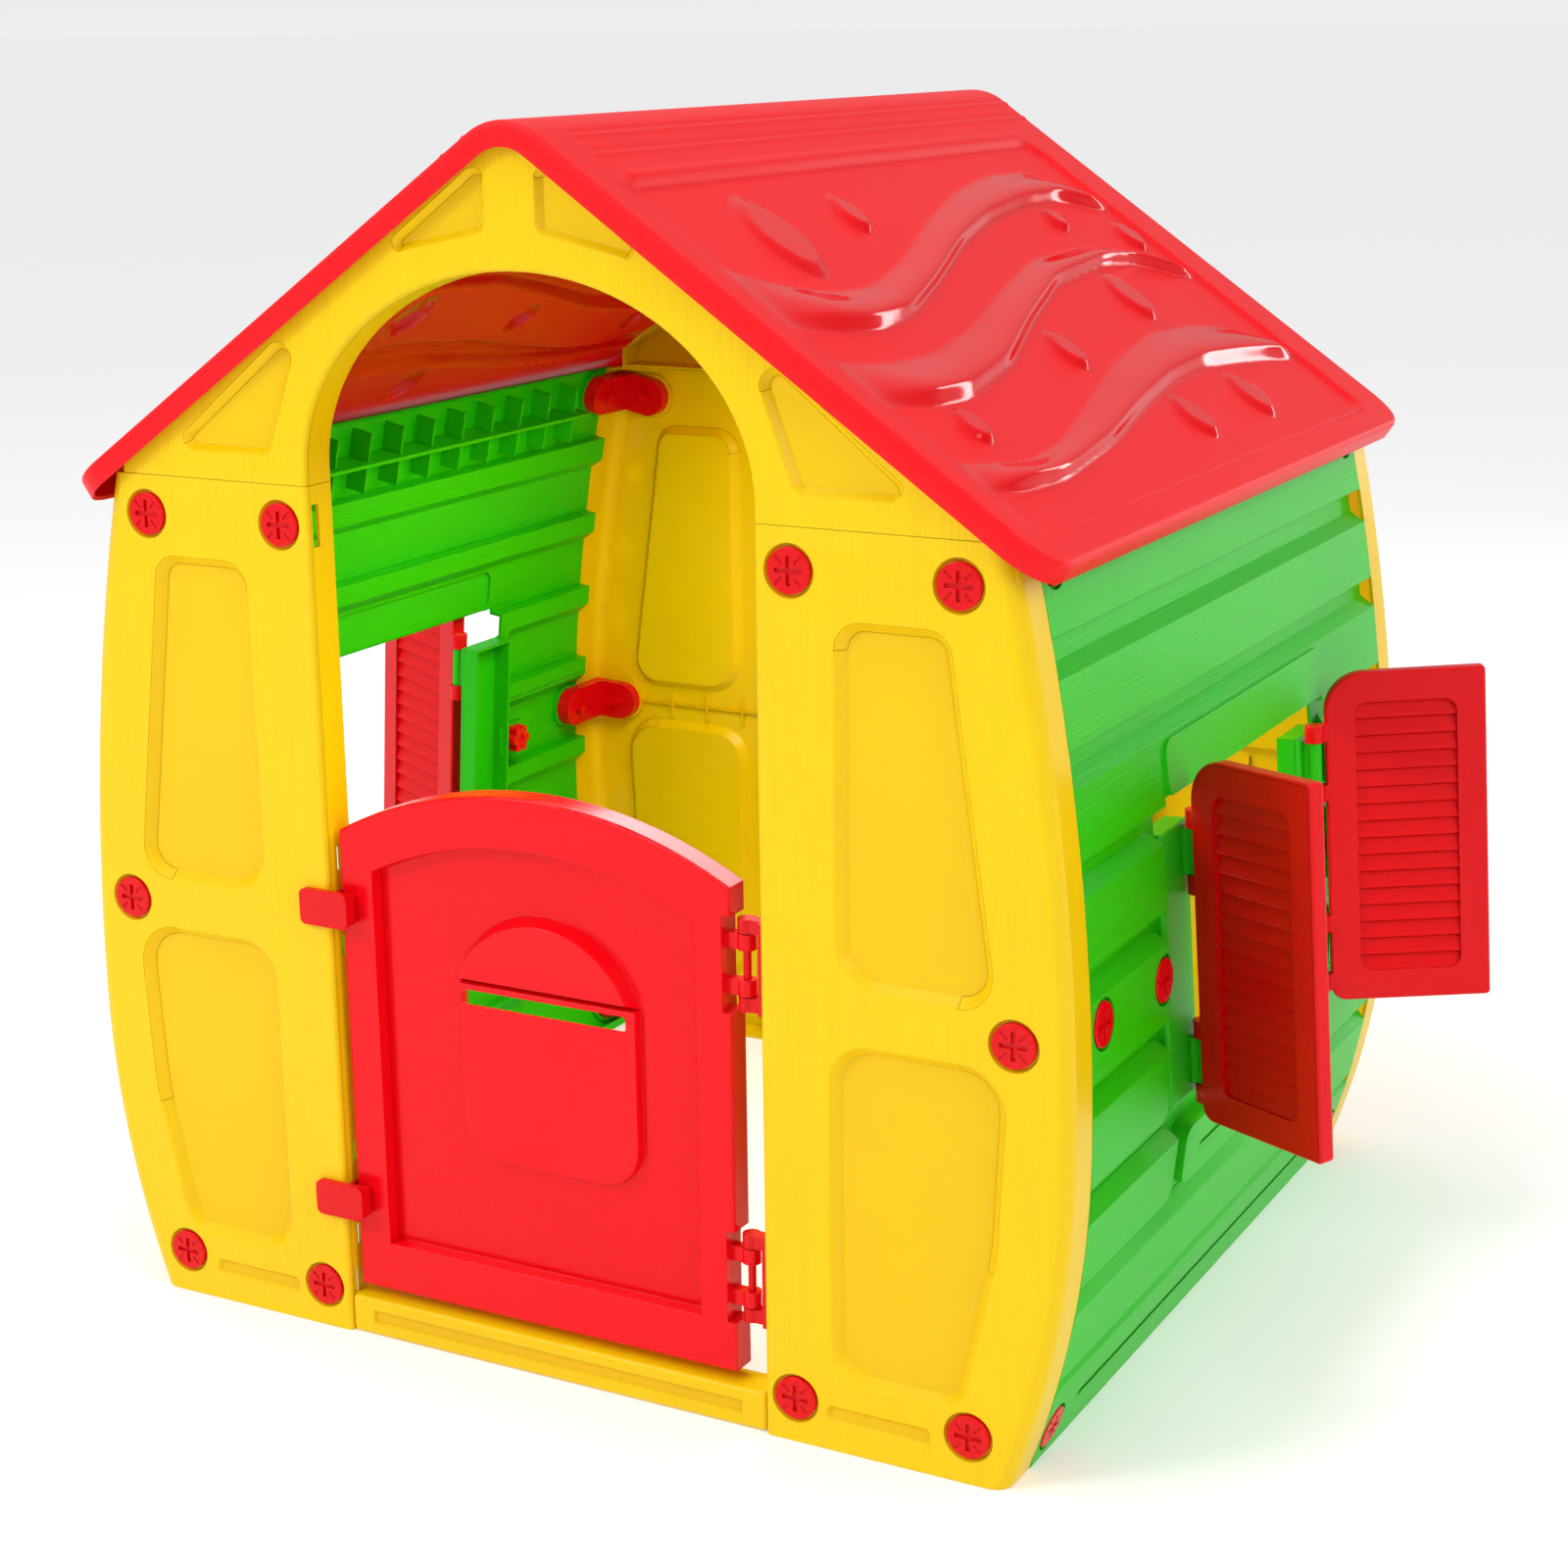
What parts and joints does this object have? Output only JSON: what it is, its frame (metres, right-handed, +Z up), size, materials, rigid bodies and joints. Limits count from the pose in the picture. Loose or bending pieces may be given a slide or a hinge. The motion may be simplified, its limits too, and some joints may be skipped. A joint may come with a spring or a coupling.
{
  "type": "plastic playhouse",
  "caption": "Child's plastic playhouse with pitched roof, arched doorway, swinging half door with letter slot, and windows with louvred shutters.",
  "frame": {"origin": "on the ground, at the middle of the house's plan", "axes": "+X to the right seen from in front of the doorway, +Y from the doorway to the back, +Z up"},
  "size_m": [1.2982, 0.9, 1.0899],
  "materials": {
    "yellow_plastic": "fine brushed grain, satin",
    "green_plastic": "fine brushed grain, satin",
    "red_roof_plastic": "fine sand texture with glossy waves",
    "red_door_plastic": "glossy panels in a satin frame",
    "red_shutter_plastic": "satin",
    "red_fitting_plastic": "smooth satin"
  },
  "bodies": {
    "house": {"front_right_panel": "yellow_plastic", "front_left_panel": "yellow_plastic", "front_arch": "yellow_plastic", "front_sill": "yellow_plastic", "back_left_panel": "yellow_plastic", "back_right_panel": "yellow_plastic", "back_arch": "yellow_plastic", "back_infill_panel": "yellow_plastic", "right_wall_lower": "green_plastic", "right_wall_upper": "green_plastic", "left_wall_lower": "green_plastic", "left_wall_upper": "green_plastic", "roof_right": "red_roof_plastic", "roof_left": "red_roof_plastic", "front_right_lower_bracket": "red_fitting_plastic", "front_right_middle_bracket": "red_fitting_plastic", "front_right_upper_bracket": "red_fitting_plastic", "front_left_lower_bracket": "red_fitting_plastic", "front_left_middle_bracket": "red_fitting_plastic", "front_left_upper_bracket": "red_fitting_plastic", "back_right_lower_bracket": "red_fitting_plastic", "back_right_middle_bracket": "red_fitting_plastic", "back_right_upper_bracket": "red_fitting_plastic", "back_left_lower_bracket": "red_fitting_plastic", "back_left_middle_bracket": "red_fitting_plastic", "back_left_upper_bracket": "red_fitting_plastic", "front_screws": "red_fitting_plastic", "back_screws": "red_fitting_plastic", "right_wall_screws": "red_fitting_plastic", "left_wall_screws": "red_fitting_plastic", "right_wall_nuts": "red_fitting_plastic", "left_wall_nuts": "red_fitting_plastic", "door_hinge_lower": "red_fitting_plastic", "door_hinge_upper": "red_fitting_plastic", "door_stop_lower": "red_fitting_plastic", "door_stop_upper": "red_fitting_plastic"},
    "door": {"door": "red_door_plastic"},
    "shutter_right_front": {"shutter_right_front": "red_shutter_plastic"},
    "shutter_right_rear": {"shutter_right_rear": "red_shutter_plastic"},
    "shutter_left_front": {"shutter_left_front": "red_shutter_plastic"},
    "shutter_left_rear": {"shutter_left_rear": "red_shutter_plastic"}
  },
  "joints": [
    {"name": "door_hinge", "type": "hinge", "parent": "house", "child": "door", "pos_m": [0.194, -0.418, 0.272], "axis": [0, 0, 1], "range_deg": [-100, 0]},
    {"name": "shutter_right_front_hinge", "type": "hinge", "parent": "house", "child": "shutter_right_front", "pos_m": [0.4943, -0.1605, 0.39], "axis": [0.068, 0, -0.9977], "range_deg": [-120, 15]},
    {"name": "shutter_right_rear_hinge", "type": "hinge", "parent": "house", "child": "shutter_right_rear", "pos_m": [0.4943, 0.1605, 0.39], "axis": [-0.068, 0, 0.9977], "range_deg": [-114, 21]},
    {"name": "shutter_left_front_hinge", "type": "hinge", "parent": "house", "child": "shutter_left_front", "pos_m": [-0.4943, -0.1605, 0.39], "axis": [0.068, 0, 0.9977], "range_deg": [-118, 17]},
    {"name": "shutter_left_rear_hinge", "type": "hinge", "parent": "house", "child": "shutter_left_rear", "pos_m": [-0.4943, 0.1605, 0.39], "axis": [-0.068, 0, -0.9977], "range_deg": [-114, 21]}
  ]
}
